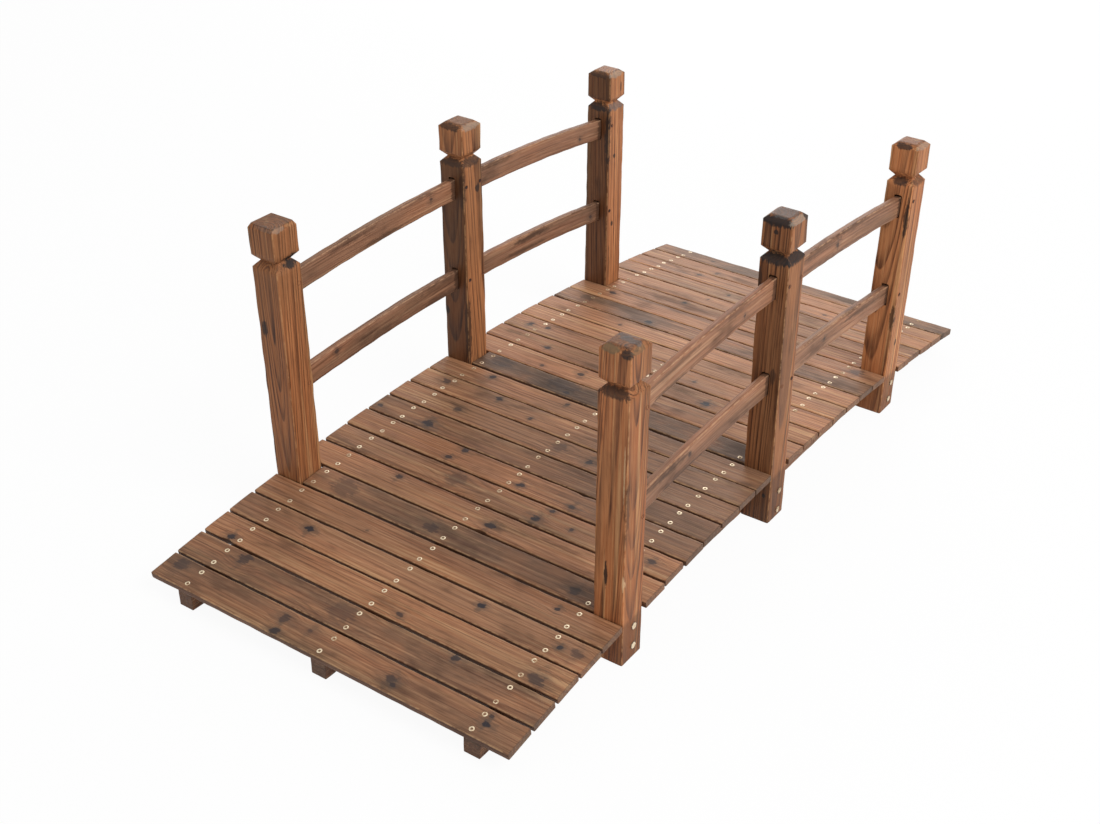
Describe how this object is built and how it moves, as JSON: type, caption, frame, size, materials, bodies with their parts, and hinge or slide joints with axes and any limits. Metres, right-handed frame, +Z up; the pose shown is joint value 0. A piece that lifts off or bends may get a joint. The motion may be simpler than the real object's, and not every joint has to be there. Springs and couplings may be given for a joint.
{
  "type": "arched wooden garden bridge",
  "caption": "Low arched timber garden bridge with a plank deck, square posts with grooved chamfered caps and curved rails along both sides.",
  "frame": {"origin": "on the ground under the middle of the bridge", "axes": "+X along the walk from the near end to the far end, +Y to the left, +Z up"},
  "size_m": [1.4996, 0.69, 0.5572],
  "materials": {
    "deck_wood": "torched fir, oiled",
    "stringer_wood": "torched fir, oiled, in shade",
    "post_wood": "torched fir, oiled, charred at the grooves",
    "rail_wood": "torched fir, oiled",
    "screw_brass": "yellow passivated screws and bolts"
  },
  "bodies": {
    "root": {"deck_board_01": "deck_wood", "deck_board_02": "deck_wood", "deck_board_03": "deck_wood", "deck_board_04": "deck_wood", "deck_board_05": "deck_wood", "deck_board_06": "deck_wood", "deck_board_07": "deck_wood", "deck_board_08": "deck_wood", "deck_board_09": "deck_wood", "deck_board_10": "deck_wood", "deck_board_11": "deck_wood", "deck_board_12": "deck_wood", "deck_board_13": "deck_wood", "deck_board_14": "deck_wood", "deck_board_15": "deck_wood", "deck_board_16": "deck_wood", "deck_board_17": "deck_wood", "deck_board_18": "deck_wood", "deck_board_19": "deck_wood", "deck_board_20": "deck_wood", "deck_board_21": "deck_wood", "deck_board_22": "deck_wood", "deck_board_23": "deck_wood", "deck_board_24": "deck_wood", "deck_board_25": "deck_wood", "deck_board_26": "deck_wood", "deck_board_27": "deck_wood", "stringer_left": "stringer_wood", "stringer_middle": "stringer_wood", "stringer_right": "stringer_wood", "post_near_left": "post_wood", "post_middle_left": "post_wood", "post_far_left": "post_wood", "post_near_right": "post_wood", "post_middle_right": "post_wood", "post_far_right": "post_wood", "rail_near_left_upper": "rail_wood", "rail_near_left_lower": "rail_wood", "rail_far_left_upper": "rail_wood", "rail_far_left_lower": "rail_wood", "rail_near_right_upper": "rail_wood", "rail_near_right_lower": "rail_wood", "rail_far_right_upper": "rail_wood", "rail_far_right_lower": "rail_wood"}
  },
  "joints": []
}
